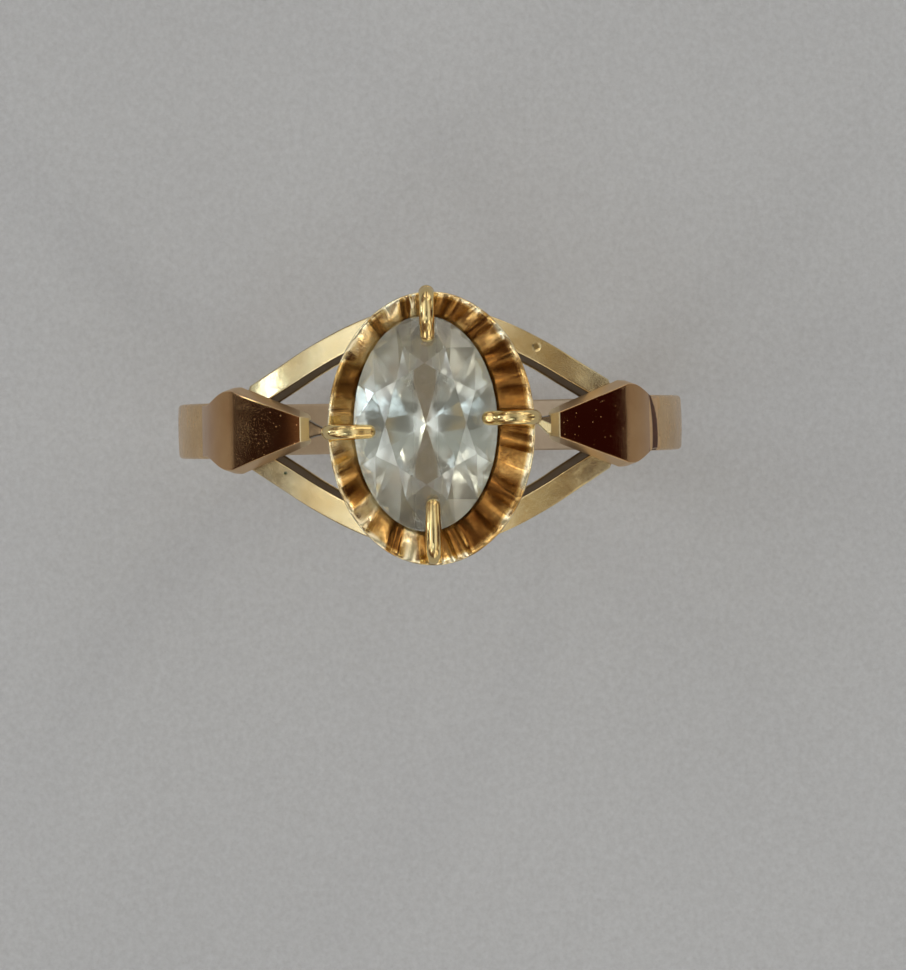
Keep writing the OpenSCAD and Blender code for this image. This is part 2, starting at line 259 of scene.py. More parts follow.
def streaks(T, mm, angle, across, along, seed, lo, hi):
    """Fine straight scratches: stretched noise, kept only where it peaks."""
    rot = T.add("ShaderNodeMapping", {"Vector": mm, "Rotation": (0.35 * seed, 0.21 * seed, radians(angle)),
                                      "Location": (seed * 3.1, seed * 1.7, seed * 2.3),
                                      "Scale": (across, along, across * 0.15)}, vector_type="TEXTURE")
    # a texture mapping divides by the scale, so these are the streak's sizes in mm
    n = T.add("ShaderNodeTexNoise", {"Vector": rot.outputs[0], "Scale": 1.0, "Detail": 2.0, "Roughness": 0.5})
    return T.add("ShaderNodeMapRange", {"Value": n.outputs[0], "From Min": lo, "From Max": hi}, clamp=True).outputs[0]


def gold(name, light, deep, rough=0.16, scratch=1.0, brush=None, wear=1.0, pits=1.0, grime_and_shade=0.5,
         inner=None, spots=(), dark_crescent_shade=None, tone=None, satin_and_highlight=None, lit=None, worn_inside=None):
    """Polished gold that has been worn: colour that drifts, fine scratches, pits, and hollows darkened by dirt and
    painted shade.
    """
    m = bpy.data.materials.new(name)
    m.use_nodes = True
    m.node_tree.nodes.clear()
    T = Tree(m.node_tree)
    tc = T.add("ShaderNodeTexCoord")
    mm = T.add("ShaderNodeVectorMath", {0: tc.outputs["Object"], "Scale": 1000.0}, operation="SCALE").outputs[0]
    drift = T.add("ShaderNodeTexNoise", {"Vector": mm, "Scale": 0.55, "Detail": 3.0, "Roughness": 0.6}).outputs[0]
    col = T.ramp(drift, [(0.32, deep), (0.68, light)])
    # dirt and painted shade: the colour darkens in the hollows that ambient occlusion finds
    ao = T.add("ShaderNodeAmbientOcclusion", {"Distance": 0.35 * MM}, samples=6, only_local=False).outputs["AO"]
    hollow = T.add("ShaderNodeMapRange", {"Value": ao, "From Min": 0.25, "From Max": 0.8, "To Min": grime_and_shade, "To Max": 0.0},
                   clamp=True).outputs[0]
    dirt_n = T.add("ShaderNodeTexNoise", {"Vector": mm, "Scale": 5.0, "Detail": 4.0}).outputs[0]
    dirt_and_shade = T.math("MULTIPLY", hollow, T.math("ADD", dirt_n, 0.35), clamped=True)
    col = T.mix(dirt_and_shade, col, (deep[0] * 0.34, deep[1] * 0.26, deep[2] * 0.2))
    pos = T.add("ShaderNodeSeparateXYZ", {0: mm})
    shade_and_wear = None
    if tone:                                         # tarnish and painted light and shade, laid on flute by flute
        t = T.add("ShaderNodeAttribute", attribute_name="tone").outputs["Fac"]
        n = T.add("ShaderNodeTexNoise", {"Vector": mm, "Scale": 2.6, "Detail": 4.0, "Roughness": 0.7}).outputs[0]
        t = T.math("ADD", t, T.math("MULTIPLY", T.math("SUBTRACT", n, 0.5), 0.55), clamped=True)
        col = T.mix(1.0, col, T.ramp(t, [(0.0, tone[0]), (0.36, tone[1]), (0.7, tone[2]), (1.0, tone[3])]), "MULTIPLY")
    if inner:                                        # painted shade on the walls that face the gap between the paired arms; these walls are also rougher
        nrm = T.add("ShaderNodeSeparateXYZ", {0: T.add("ShaderNodeNewGeometry").outputs["True Normal"]})
        facing = T.math("MULTIPLY", nrm.outputs[1], T.math("SIGN", pos.outputs[1]))
        shade_and_wear = T.add("ShaderNodeMapRange", {"Value": facing, "From Min": -0.35, "From Max": -0.7}, clamp=True).outputs[0]
        col = T.mix(T.math("MULTIPLY", shade_and_wear, inner), col, (deep[0] * 0.16, deep[1] * 0.12, deep[2] * 0.1))
    if worn_inside:                                  # the inside of the hoop is dull and greyed by wear
        rad = T.math("SQRT", T.math("ADD", T.math("POWER", pos.outputs[0], 2.0), T.math("POWER", pos.outputs[2], 2.0)))
        shade_and_wear = T.add("ShaderNodeMapRange", {"Value": rad, "From Min": worn_inside + 0.08, "From Max": worn_inside}, clamp=True).outputs[0]
        col = T.mix(T.math("MULTIPLY", shade_and_wear, 0.65), col, (0.44, 0.40, 0.35))
    if lit is not None:                              # painted highlight on one flank of the link
        edge = T.math("ADD", pos.outputs[1], T.math("MULTIPLY", T.math("SUBTRACT", pos.outputs[0], 4.35), 0.45))
        f = T.add("ShaderNodeMapRange", {"Value": edge, "From Min": lit + 0.03, "From Max": lit - 0.03}, clamp=True).outputs[0]
        f = T.math("MULTIPLY", f, T.math("GREATER_THAN", pos.outputs[0], 0.0))
        col = T.mix(f, col, (0.90, 0.76, 0.42))
    holes = []
    for x, y, rad, c in spots:
        d = T.math("SQRT", T.math("ADD", T.math("POWER", T.math("SUBTRACT", pos.outputs[0], x), 2.0),
                                  T.math("POWER", T.math("SUBTRACT", pos.outputs[1], y), 2.0)))
        f = T.add("ShaderNodeMapRange", {"Value": d, "From Min": rad * 1.15, "From Max": rad * 0.55}, clamp=True).outputs[0]
        holes.append(f)
        col = T.mix(T.math("MULTIPLY", f, 0.8), col, c)
    if dark_crescent_shade:                                         # painted shade: a dark crescent where the plate's end meets the hoop
        bow = T.math("ADD", pos.outputs[0], T.math("MULTIPLY", T.math("MULTIPLY", pos.outputs[1], pos.outputs[1]), 0.10))
        e = T.math("ABSOLUTE", T.math("SUBTRACT", bow, dark_crescent_shade[0]))
        f = T.add("ShaderNodeMapRange", {"Value": e, "From Min": dark_crescent_shade[1] + 0.02, "From Max": dark_crescent_shade[1] - 0.02}, clamp=True).outputs[0]
        f = T.math("MULTIPLY", f, T.math("GREATER_THAN", pos.outputs[2], 0.0))
        col = T.mix(f, col, dark_crescent_shade[2])
    # scratches in three directions, and handling haze
    s1 = streaks(T, mm, 8, 0.012, 1.3, 1.0, 0.60, 0.70)
    s2 = streaks(T, mm, 63, 0.010, 0.8, 2.0, 0.62, 0.72)
    s3 = streaks(T, mm, 121, 0.015, 1.0, 3.0, 0.63, 0.72)
    scr = T.math("MAXIMUM", T.math("MAXIMUM", s1, s2), s3)
    haze = T.add("ShaderNodeTexNoise", {"Vector": mm, "Scale": 1.7, "Detail": 5.0, "Roughness": 0.65}).outputs[0]
    r = T.add("ShaderNodeMapRange", {"Value": haze, "From Min": 0.3, "From Max": 0.7,
                                     "To Min": rough * 0.65, "To Max": rough * 1.5}, clamp=True).outputs[0]
    r = T.math("ADD", r, T.math("MULTIPLY", scr, 0.16 * scratch))
    r = T.math("ADD", r, T.math("MULTIPLY", dirt_and_shade, 0.3), clamped=True)
    if satin_and_highlight:
        # painted highlight with a satin finish: the plate's tip and its side walls are painted paler and made rougher
        f = T.add("ShaderNodeMapRange", {"Value": T.math("ABSOLUTE", pos.outputs[0]), "From Min": satin_and_highlight + 0.04, "From Max": satin_and_highlight},
                  clamp=True).outputs[0]
        col = T.mix(T.math("MULTIPLY", f, 0.85), col, (0.90, 0.80, 0.50))
        side = T.add("ShaderNodeSeparateXYZ", {0: T.add("ShaderNodeNewGeometry").outputs["True Normal"]}).outputs[1]
        side = T.add("ShaderNodeMapRange", {"Value": T.math("ABSOLUTE", side), "From Min": 0.35, "From Max": 0.6}, clamp=True).outputs[0]
        col = T.mix(T.math("MULTIPLY", side, 0.6), col, (0.74, 0.58, 0.38))
        r = T.math("ADD", r, T.math("MULTIPLY", T.math("MAXIMUM", f, side), 0.42), clamped=True)
    if shade_and_wear is not None:
        r = T.math("ADD", r, T.math("MULTIPLY", shade_and_wear, 0.3), clamped=True)
    # relief, in metres
    pit = T.add("ShaderNodeTexVoronoi", {"Vector": mm, "Scale": 6.5, "Randomness": 1.0}, feature="F1").outputs["Distance"]
    pit = T.add("ShaderNodeMapRange", {"Value": pit, "From Min": 0.05, "From Max": 0.16, "To Min": 1.0, "To Max": 0.0},
                clamp=True).outputs[0]
    pit = T.math("MULTIPLY", pit, T.add("ShaderNodeMapRange", {"Value": dirt_n, "From Min": 0.5, "From Max": 0.62},
                                        clamp=True).outputs[0])
    swell = T.add("ShaderNodeTexNoise", {"Vector": mm, "Scale": 1.1, "Detail": 2.0}).outputs[0]
    ripple = T.add("ShaderNodeTexNoise", {"Vector": mm, "Scale": 9.0, "Detail": 3.0, "Roughness": 0.6}).outputs[0]
    h = T.math("MULTIPLY", scr, -0.0011 * scratch)
    h = T.math("ADD", h, T.math("MULTIPLY", pit, -0.006 * pits))
    h = T.math("ADD", h, T.math("MULTIPLY", swell, 0.020 * wear))
    h = T.math("ADD", h, T.math("MULTIPLY", ripple, 0.0022 * wear))
    for f in holes:
        h = T.math("ADD", h, T.math("MULTIPLY", f, -0.035))
    if brush:
        uv = T.add("ShaderNodeUVMap", uv_map="surface").outputs[0]
        g = T.add("ShaderNodeMapping", {"Vector": uv, "Scale": brush[0]}).outputs[0]
        lines = T.add("ShaderNodeTexNoise", {"Vector": g, "Scale": 1.0, "Detail": 3.0, "Roughness": 0.7}).outputs[0]
        h = T.math("ADD", h, T.math("MULTIPLY", lines, brush[1]))
    bump = T.add("ShaderNodeBump", {"Height": h, "Strength": 1.0, "Distance": MM}).outputs[0]
    bsdf = T.add("ShaderNodeBsdfPrincipled", {"Base Color": col, "Metallic": 1.0, "Roughness": r, "Normal": bump})
    out = T.add("ShaderNodeOutputMaterial", {"Surface": bsdf.outputs[0]})
    return m


def shade_crescent_material(name):
    """Painted shade: a dark, slanting crescent across the outside of the hoop where the plate ends, with tan around it.
    """
    m = bpy.data.materials.new(name)
    m.use_nodes = True
    m.node_tree.nodes.clear()
    T = Tree(m.node_tree)
    mm = T.add("ShaderNodeVectorMath", {0: T.add("ShaderNodeTexCoord").outputs["Object"], "Scale": 1000.0}, operation="SCALE").outputs[0]
    x, y, _ = T.add("ShaderNodeSeparateXYZ", {0: mm}).outputs
    yq = T.math("POWER", T.math("ADD", y, 0.35), 2.0)
    near = T.math("SUBTRACT", x, T.math("SUBTRACT", 8.13, T.math("MULTIPLY", yq, 0.075)))
    ragged = T.add("ShaderNodeTexNoise", {"Vector": mm, "Scale": 3.2, "Detail": 4.0, "Roughness": 0.65}).outputs[0]
    far = T.math("SUBTRACT", T.math("SUBTRACT", 8.42, T.math("MULTIPLY", yq, 0.17)), x)
    far = T.math("SUBTRACT", far, T.math("MULTIPLY", ragged, 0.09))
    edge = [T.add("ShaderNodeMapRange", {"Value": v, "From Min": -0.018, "From Max": 0.018}, clamp=True).outputs[0] for v in (near, far)]
    grain = T.add("ShaderNodeTexNoise", {"Vector": mm, "Scale": 4.0, "Detail": 5.0, "Roughness": 0.7}).outputs[0]
    tan = T.ramp(grain, [(0.35, (0.50, 0.33, 0.18)), (0.65, (0.58, 0.40, 0.23))])
    dark = T.ramp(grain, [(0.35, (0.050, 0.017, 0.008)), (0.65, (0.105, 0.038, 0.016))])
    col = T.mix(T.math("MULTIPLY", edge[0], edge[1]), tan, dark)
    bump = T.add("ShaderNodeBump", {"Height": T.math("MULTIPLY", grain, 0.012), "Strength": 1.0, "Distance": MM}).outputs[0]
    bsdf = T.add("ShaderNodeBsdfPrincipled", {"Base Color": col, "Metallic": 0.0, "Roughness": 0.55,
                                              "Specular IOR Level": 0.12, "Normal": bump})
    T.add("ShaderNodeOutputMaterial", {"Surface": bsdf.outputs[0]})
    return m


def gem(name):
    m = bpy.data.materials.new(name)
    m.use_nodes = True
    m.node_tree.nodes.clear()
    T = Tree(m.node_tree)
    tc = T.add("ShaderNodeTexCoord")
    mm = T.add("ShaderNodeVectorMath", {0: tc.outputs["Object"], "Scale": 1000.0}, operation="SCALE").outputs[0]
    cloud = T.add("ShaderNodeTexNoise", {"Vector": mm, "Scale": 0.8, "Detail": 3.0}).outputs[0]
    col = T.ramp(cloud, [(0.3, (0.88, 0.94, 0.85)), (0.7, (0.95, 0.99, 0.91))])
    # painted light: a brownish tint on the stone's underside stands in for the brown seen through its windows
    zz = T.add("ShaderNodeSeparateXYZ", {0: mm}).outputs[2]
    window_tint_noise = T.add("ShaderNodeTexNoise", {"Vector": mm, "Scale": 1.8, "Detail": 4.0, "Roughness": 0.65}).outputs[0]
    under = T.math("LESS_THAN", zz, GZ - GIRDLE_T / 2 - 0.01)
    window_tint = T.math("MULTIPLY", under, T.math("MULTIPLY", window_tint_noise, 0.5), clamped=True)
    col = T.mix(window_tint, col, (0.46, 0.38, 0.27))
    # the painted tint is darkest along the keel, where the stone is looked straight through
    xx = T.add("ShaderNodeSeparateXYZ", {0: mm}).outputs[0]
    keel = T.add("ShaderNodeMapRange", {"Value": T.math("ABSOLUTE", T.math("SUBTRACT", xx, STONE_C[0])), "From Min": 0.50, "From Max": 0.36},
                 clamp=True).outputs[0]
    keel = T.math("MULTIPLY", under, T.math("MULTIPLY", keel, T.math("ADD", 0.75, T.math("MULTIPLY", window_tint_noise, 0.5))), clamped=True)
    col = T.mix(keel, col, (0.21, 0.12, 0.047))
    scr = T.math("MAXIMUM", streaks(T, mm, 20, 0.008, 0.5, 1.5, 0.66, 0.74), streaks(T, mm, 100, 0.008, 0.4, 2.5, 0.68, 0.75))
    # polish wears along the facet edges: rounder and duller there
    geo = T.add("ShaderNodeNewGeometry").outputs["Pointiness"]
    edge = T.add("ShaderNodeMapRange", {"Value": geo, "From Min": 0.52, "From Max": 0.60}, clamp=True).outputs[0]
    rough = T.math("ADD", T.math("MULTIPLY", scr, 0.05), T.math("MULTIPLY", edge, 0.12), clamped=True)
    soft = T.add("ShaderNodeTexNoise", {"Vector": mm, "Scale": 2.4, "Detail": 3.0, "Roughness": 0.6}).outputs[0]
    h = T.math("ADD", T.math("MULTIPLY", scr, -0.0006), T.math("MULTIPLY", soft, 0.004))
    bump = T.add("ShaderNodeBump", {"Height": h, "Strength": 1.0, "Distance": MM}).outputs[0]
    bsdf = T.add("ShaderNodeBsdfPrincipled", {"Base Color": col, "Metallic": 0.0, "Roughness": rough, "IOR": 1.77,
                                              "Transmission Weight": 0.92, "Normal": bump})
    T.add("ShaderNodeOutputMaterial", {"Surface": bsdf.outputs[0]})
    return m


YELLOW = ((0.80, 0.69, 0.42), (0.72, 0.56, 0.29))
ROSE = ((0.74, 0.51, 0.27), (0.62, 0.41, 0.20))
PLATE = ((0.57, 0.35, 0.17), (0.47, 0.265, 0.12))
mat_shank = gold("rose_gold_hoop", *ROSE, rough=0.22, worn_inside=8.64, scratch=1.2, wear=0.8)
mat_wedge = gold("rose_gold_plate", *PLATE, rough=0.055, scratch=0.22, wear=0.12, pits=1.2, grime_and_shade=0.2,
                 dark_crescent_shade=(8.25, 0.17, (0.13, 0.030, 0.008)), satin_and_highlight=4.6)
mat_arm = gold("yellow_gold_bar", *YELLOW, rough=0.17, scratch=1.2, wear=0.8, inner=0.95,
               spots=[(3.84, 2.78, 0.15, (0.30, 0.20, 0.07)), (-5.2, -1.56, 0.07, (0.02, 0.10, 0.04))])
mat_collar = gold("yellow_gold_flutes", (0.93, 0.74, 0.38), (0.84, 0.58, 0.24), rough=0.10, scratch=0.6, wear=0.7,
                  brush=((0.6, 16.0, 1.0), 0.005), grime_and_shade=0.15, tone=((0.13, 0.065, 0.028), (0.34, 0.215, 0.115), (0.74, 0.63, 0.49), (1.03, 1.20, 1.66)))
mat_claw = gold("yellow_gold_claw", (0.86, 0.68, 0.33), (0.74, 0.53, 0.22), rough=0.11, scratch=0.6, wear=0.6)
mat_head = gold("yellow_gold_head", *YELLOW, rough=0.22, scratch=0.8, wear=0.8, grime_and_shade=0.8)
# painted shade: the link is a dark, shaded copy of yellow gold, with a painted highlight on one flank
mat_link_shaded = gold("shaded_yellow_gold_link", (0.20, 0.14, 0.08), (0.10, 0.065, 0.035), rough=0.22, lit=0.0, scratch=1.0, wear=0.8, grime_and_shade=0.9)
mat_gem = gem("faceted_stone")
mat_shade_crescent = shade_crescent_material("painted_shade_crescent")


# ------------------------------------------------------------------ shank
def make_shank():
    w, t = SHANK_W / 2, OUT_R - BORE_R
    prof = rounded([(0, -w), (t, -w), (t, w), (0, w)], [0.10, 0.17, 0.17, 0.10], [5, 10, 5, 10], seg=5, hold=0.04)
    rings = []
    steps = 240
    for i in range(steps + 1):
        a = radians(GAP_A + (360 - 2 * GAP_A) * i / steps)
        ring = []
        for u, v in prof:
            r = BORE_R + u
            if u > t * 0.5:
                r -= 0.035 * (v / w) ** 2          # the outside is very slightly domed
            p = Vector((r * sin(a), v, r * cos(a)))
            if u > 0.25:
                n = Vector((sin(a), 0, cos(a)))
                p += n * wobble(p, 0.008, 2.2)
                if p.x > 0 and p.z > 0:              # a filed groove under the painted shade crescent
                    p -= n * 0.004 * (smooth(8.30, 8.36, p.x) - smooth(8.40, 8.46, p.x))
            ring.append(p)
        rings.append(ring)
    return loft("hoop", rings)


# ------------------------------------------------------------------ wedges
def make_wedge(side):
    s = [0.0]
    for a, b in zip(WEDGE, WEDGE[1:]):
        s.append(s[-1] + max(0.05, b[1] - a[1]) + 0.6 * (b[2] - a[2] if b[2] > a[2] else 0))
    cols = list(zip(*WEDGE))
    samples = [0, s[1] * 0.25, s[1] * 0.5, s[1] * 0.75, s[1] * 0.93, s[1], s[1] * 1.07]
    k = s[1] * 1.07
    while k < s[-1] - 0.02:
        k += 0.055
        samples.append(min(k, s[-1]))
    rings = []
    for q in samples:
        if q <= s[1]:
            f = q / s[1]
            xb, xt, drop, wb, wt = [c[0] + (c[1] - c[0]) * f for c in cols]
        else:
            xb, xt, drop, wb, wt = [pchip(s[1:], c[1:], q) for c in cols]
        rt = WEDGE_R - drop
        zb, zt = sqrt((OUT_R - 0.005) ** 2 - xb * xb), sqrt(rt * rt - xt * xt)
        H = sqrt((xt - xb) ** 2 + (zt - zb) ** 2)
        prof = rounded([(-wb, 0), (wb, 0), (wt, H), (-wt, H)], [0.015, 0.015, 0.045, 0.045], [8, 3, 8, 3], seg=3, hold=0.03)
        ring = []
        for u, v in prof:
            p = Vector((xb + (xt - xb) * v / H, u, zb + (zt - zb) * v / H))
            if v > 0.7 * H:
                p += Vector((0.5, 0, 0.85)) * wobble(p, 0.004, 1.6)
            ring.append(Vector((p.x * side, p.y, p.z)))
        rings.append(ring)
    return loft("wedge_plate_" + ("right" if side > 0 else "left"), rings, sharp_rings=())


# ------------------------------------------------------------------ split arms
def make_arm(sx, sy, nip, name):
    ctl = []
    for x, y in ARM:
        y2 = y - nip * max(0, x - 1.5) / 5
        ctl.append((x, y2, sqrt((OUT_R - 0.49 - 0.01) ** 2 - x * x)))
    path = spline(ctl, 9)
    n = len(path)
    rings = []
    for i, p in enumerate(path):
        t = (path[min(i + 1, n - 1)] - path[max(i - 1, 0)]).normalized()
        r = Vector((p.x, 0, p.z)).normalized()
        u0 = (r - t * r.dot(t)).normalized()
        s0 = u0.cross(t)
        if s0.y < 0:
            s0 = -s0
        lean = radians(4 + 8 * i / (n - 1))
        u = u0 * cos(lean) + s0 * sin(lean)
        s = s0 * cos(lean) - u0 * sin(lean)
        prof = rounded([(-0.445, -0.49), (0.445, -0.49), (0.445, 0.49), (-0.445, 0.49)],
                       [0.05, 0.05, 0.06, 0.06], [4, 4, 5, 4], seg=4, hold=0.03)
        ring = []
        for a, b in prof:
            q = p + s * a + u * b
            if b > 0.3:
                q += u * wobble(q * 1.0 + Vector((sx * 9, sy * 5, 0)), 0.010, 1.3)
            rr = sqrt(q.x * q.x + q.z * q.z)
            if rr < BORE_R + RELIEF:                 # the underside arches over the finger
                k = (BORE_R + RELIEF) / rr
                q = Vector((q.x * k, q.y, q.z * k))
            if q.x > 5.7:                            # the arms leave the hoop flush with its sides
                q.y = min(q.y, 1.02 + 3.2 * max(0.0, 6.66 - q.x))
            ring.append(Vector((q.x * sx, q.y * sy, q.z)))
        rings.append(ring)
    return loft(name, rings)


# ------------------------------------------------------------------ shoulder pins
def claw_line(c):
    ns = c[0] in (90, 270)
    k = (round(cos(radians(c[0]))), round(sin(radians(c[0]))))
    foot = RAIL_B + 0.17 if ns else RAIL_A + 0.2
    knee = (COLLAR_B if ns else COLLAR_A) - c[3] + COLLAR_C[0] * k[0] + COLLAR_C[1] * k[1] - 0.04
    tip = c[2] + 0.2
    at = tip - (STONE_C[0] * k[0] + STONE_C[1] * k[1])
    low = GIRDLE_T / 2 + CROWN * (1 - at / (SB if ns else SA)) / (1 - TABLE) + 0.2
    top = max(low + 0.16, RISE + 0.06)
    z = GZ
    return [(foot, z - 2.35), (knee, z + 0.1), (knee, z + 0.38), (knee - 0.13, z + 0.66),
            (knee - 0.42, z + top), (tip + (knee - tip) * 0.42, z + top + 0.02),
            (tip + (knee - tip) * 0.18, z + low + 0.1), (tip, z + low)]


def make_pin(side):
    c = CLAWS["right_claw"] if side > 0 else CLAWS["left_claw"]
    off = c[1] if side > 0 else -c[1]
    x0 = 4.30
    z0, z1 = 8.61, 8.90
    foot = claw_line(c)[0][0]
    keys = [(x0, 0, 0.37, z0, z1 + 0.02), (x0 - 0.3, off * 0.35, 0.22, z0 + 0.08, z1 + 0.11),
            (x0 - 0.6, off * 0.8, 0.14, z0 + 0.16, z1 + 0.20), (foot, off, 0.12, z0 + 0.24, z1 + 0.25)]
    path = spline([k[:1] + k[1:2] + (k[2],) for k in keys], 6)
    zs = spline([(k[3], k[4], 0) for k in keys], 6)
    rings = []
    for (x, y, w), (za, zb, _) in zip(path, zs):
        lo = w * (1 + (0.35 if side > 0 else 0.0) * smooth(3.7, 4.1, x) * (1 - smooth(4.15, 4.3, x)))
        prof = rounded([(-lo, za), (w, za), (w * 0.8, zb), (-lo * 0.8, zb)], [0.05, 0.05, 0.07, 0.07], [2, 2, 2, 2], seg=3, hold=0.02)
        rings.append([Vector((x * side, y + u, v)) for u, v in prof])
    return loft("shoulder_link_" + ("right" if side > 0 else "left"), rings)


# ------------------------------------------------------------------ head
def ell(a, b, t, c=(0, 0)):
    return c[0] + a * cos(radians(t)), c[1] + b * sin(radians(t))


def make_rail():
    rings = []
    R = BORE_R + RELIEF + 0.003
    for i in range(160):
        t = i * 360 / 160
        zo = sqrt(R * R - (RAIL_A * cos(radians(t))) ** 2)
        zi = sqrt(R * R - ((RAIL_A - RAIL_WALL) * cos(radians(t))) ** 2)
        prof = rounded([(0, zo), (0, RAIL_TOP), (RAIL_WALL, RAIL_TOP), (RAIL_WALL, zi)],
                       [0.06, 0.12, 0.05, 0.06], [5, 3, 5, 3], seg=4, hold=0.03)
        ring = []
        for d, z in prof:
            x, y = ell(RAIL_A - d, RAIL_B - d, t)
            ring.append(Vector((x, y, z)))
        rings.append(ring)
    return loft("gallery_ring", rings, closed=True)


def make_collet():
    z1, z2 = RAIL_TOP - 0.55, SEAT_Z - 0.34
    a1, b1, w = RAIL_A - RAIL_WALL, RAIL_B - RAIL_WALL, 0.34
    rings = []
    for i in range(160):
        t = i * 360 / 160
        x = [ell(a1 - 0.005, b1 - 0.005, t), ell(SEAT_A + 0.2, SEAT_B + 0.2, t, [k * 0.9 for k in STONE_C]),
             ell(SEAT_A - 0.14, SEAT_B - 0.14, t, [k * 0.9 for k in STONE_C]), ell(a1 - w, b1 - w, t)]
        ring = []
        # outer wall, slightly waisted, then the inner wall
        for k in range(15):
            f = k / 14
            z = z1 + (z2 - z1) * f
            waist = 0.07 * sin(pi * smooth(0.3, 1.0, f)) if f > 0.3 else 0
            g = smooth(0.33, 1.0, f)
            p = Vector(x[0]).lerp(Vector(x[1]), g)
            q = Vector((cos(radians(t)), sin(radians(t)))) * waist
            ring.append(Vector((p.x - q.x, p.y - q.y, z)))
        for k in range(13):
            f = k / 12
            g = smooth(0.0, 0.7, f)
            p = Vector(x[2]).lerp(Vector(x[3]), g)
            ring.append(Vector((p.x, p.y, z2 + (z1 - z2) * f)))
        rings.append(ring)
    return loft("collet_wall", rings, closed=True, sharp_points=(0, 14, 15, 27))


# one entry for each flute, from RIDGES: how bright its painted light and tarnish make it, and how far its middle swells
# out
FLUTES = [(0.30, -0.02), (0.16, -0.07), (0.20, -0.09), (0.52, 0.04), (0.14, -0.08), (0.62, 0.05), (0.36, -0.02), (0.28, -0.05),
          (0.50, 0.02), (0.98, 0.06), (0.26, -0.07), (0.82, 0.06), (0.30, -0.04), (0.78, 0.05), (0.14, -0.09), (0.60, -0.05),
          (0.78, 0.00), (0.75, -0.03), (0.46, -0.05), (0.30, 0.03), (1.00, 0.07), (0.60, 0.07), (0.14, -0.05), (0.95, 0.07),
          (0.42, 0.00), (0.46, 0.02), (0.34, -0.02), (0.06, -0.09), (0.34, 0.00), (0.10, -0.09), (0.42, 0.00), (0.30, -0.05),
          (0.42, 0.00)]


# depth of each flute (share), where its valley lies, and how sharp it is
def flute_shape(i):
    h = noise.noise(Vector((i * 1.37, 4.2, 0.5)))
    g = noise.noise(Vector((i * 2.11, 9.7, 3.1)))
    k = noise.noise(Vector((i * 0.93, 1.9, 8.8)))
    return 0.9 + 0.5 * h, clamp(0.5 + 0.5 * g, 0.22, 0.78), clamp(1.3 + 0.9 * k, 1.0, 2.0)


